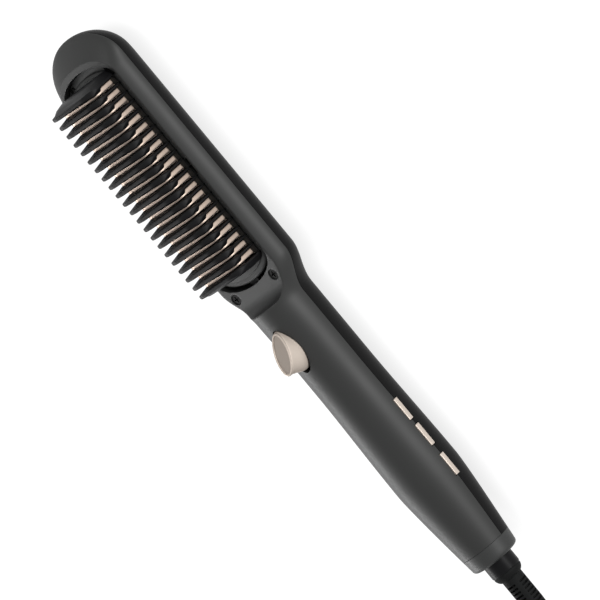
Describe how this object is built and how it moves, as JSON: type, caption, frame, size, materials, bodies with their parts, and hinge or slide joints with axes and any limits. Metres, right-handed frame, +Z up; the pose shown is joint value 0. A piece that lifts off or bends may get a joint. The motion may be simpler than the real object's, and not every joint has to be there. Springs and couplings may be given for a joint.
{
  "type": "hair straightening brush",
  "caption": "Handheld electric hair straightening brush with comb fins over heating plates, tension trigger, side buttons, swivelling mains lead and plug.",
  "frame": {"origin": "bottom centre of the brush's box, measured without the cord, tie and plug; the brush lies on its back with its fins up", "axes": "+X from the head's tip to the lead, +Y towards the three buttons, +Z up through the fins"},
  "size_m": [0.5479, 0.0632, 0.0423],
  "materials": {
    "casing_charcoal": "fine satin moulded plastic",
    "casing_back": "fine satin moulded plastic",
    "cap_plastic": "satin ring, a shade lighter than the casing",
    "comb_black": "satin heat resistant plastic",
    "plate_copper": "copper toned ceramic coating, soft sheen",
    "heater_ceramic": "white ceramic",
    "mica": "mica sheet",
    "tray_dark": "heat resistant plastic",
    "bracket_dark": "satin",
    "screw_black": "black oxide",
    "steel": "bright",
    "sensor_red": "lacquered",
    "wire_white": "silicone sleeve",
    "wire_brown": "insulation",
    "rod_black": "glass-filled nylon",
    "trigger_champagne": "champagne metallic satin",
    "button_champagne": "champagne metallic satin",
    "board_green": "printed circuit board",
    "parts_dark": "electronic parts",
    "switch_black": "satin",
    "bush_black": "moulded",
    "brass": "bright",
    "sleeve_gloss": "glossy",
    "relief_rubber": "matte",
    "cord_rubber": "matte",
    "tie_black": "matte strap",
    "plug_rubber": "moulded",
    "pin_metal": "plated"
  },
  "bodies": {
    "brush": {"front_shell": "casing_charcoal", "back_shell": "casing_back", "end_cap": "cap_plastic", "neck_screws": "screw_black", "heating_plates": "plate_copper", "heater_strip": "heater_ceramic", "mica_sheet": "mica", "plate_tray": "tray_dark", "tip_bracket": "bracket_dark", "tip_screws": "screw_black", "thermal_fuse": "steel", "heat_sensor": "sensor_red", "heater_wires": "wire_white", "trigger_pin": "steel", "trigger_spring": "steel", "main_board": "board_green", "board_parts": "parts_dark", "board_screws": "steel", "button_board": "board_green", "tact_switches": "switch_black", "bearing_bush": "bush_black", "contact_block": "bush_black", "contact_blades": "brass", "mains_wires": "wire_brown", "cord_lead": "cord_rubber", "cord_hank": "cord_rubber", "cord_tail": "cord_rubber", "cord_tie": "tie_black", "plug_body": "plug_rubber", "plug_pins": "pin_metal"},
    "comb": {"comb": "comb_black", "tension_rod": "rod_black"},
    "trigger": {"trigger": "trigger_champagne"},
    "high_button": {"high_button": "button_champagne"},
    "low_button": {"low_button": "button_champagne"},
    "power_button": {"power_button": "button_champagne"},
    "swivel": {"swivel_sleeve": "sleeve_gloss", "slip_rings": "brass", "strain_relief": "relief_rubber"}
  },
  "joints": [
    {"name": "trigger_press", "type": "hinge", "parent": "brush", "child": "trigger", "pos_m": [-0.0137, 0, 0.0252], "axis": [0, 1, 0], "range_deg": [0, 12], "stiffness_Nm_per_rad": 0.15, "springref_deg": -11.46, "deforming": ["trigger_spring"]},
    {"name": "comb_slide", "type": "slide", "parent": "brush", "child": "comb", "axis": [-1, 0, 0], "range_m": [0, 0.001]},
    {"name": "high_button_press", "type": "slide", "parent": "brush", "child": "high_button", "axis": [0, -1, 0], "range_m": [0, 0.0005], "stiffness_N_per_m": 2000, "springref_m": -0.0002},
    {"name": "low_button_press", "type": "slide", "parent": "brush", "child": "low_button", "axis": [0, -1, 0], "range_m": [0, 0.0005], "stiffness_N_per_m": 2000, "springref_m": -0.0002},
    {"name": "power_button_press", "type": "slide", "parent": "brush", "child": "power_button", "axis": [0, -1, 0], "range_m": [0, 0.0005], "stiffness_N_per_m": 2000, "springref_m": -0.0002},
    {"name": "cord_swivel", "type": "hinge", "parent": "brush", "child": "swivel", "pos_m": [0.115, 0, 0.0166], "axis": [1, 0, 0], "continuous": true}
  ],
  "couplings": [
    {"joint": "trigger_press", "follows": "comb_slide", "rad_per_m": 209.44}
  ]
}
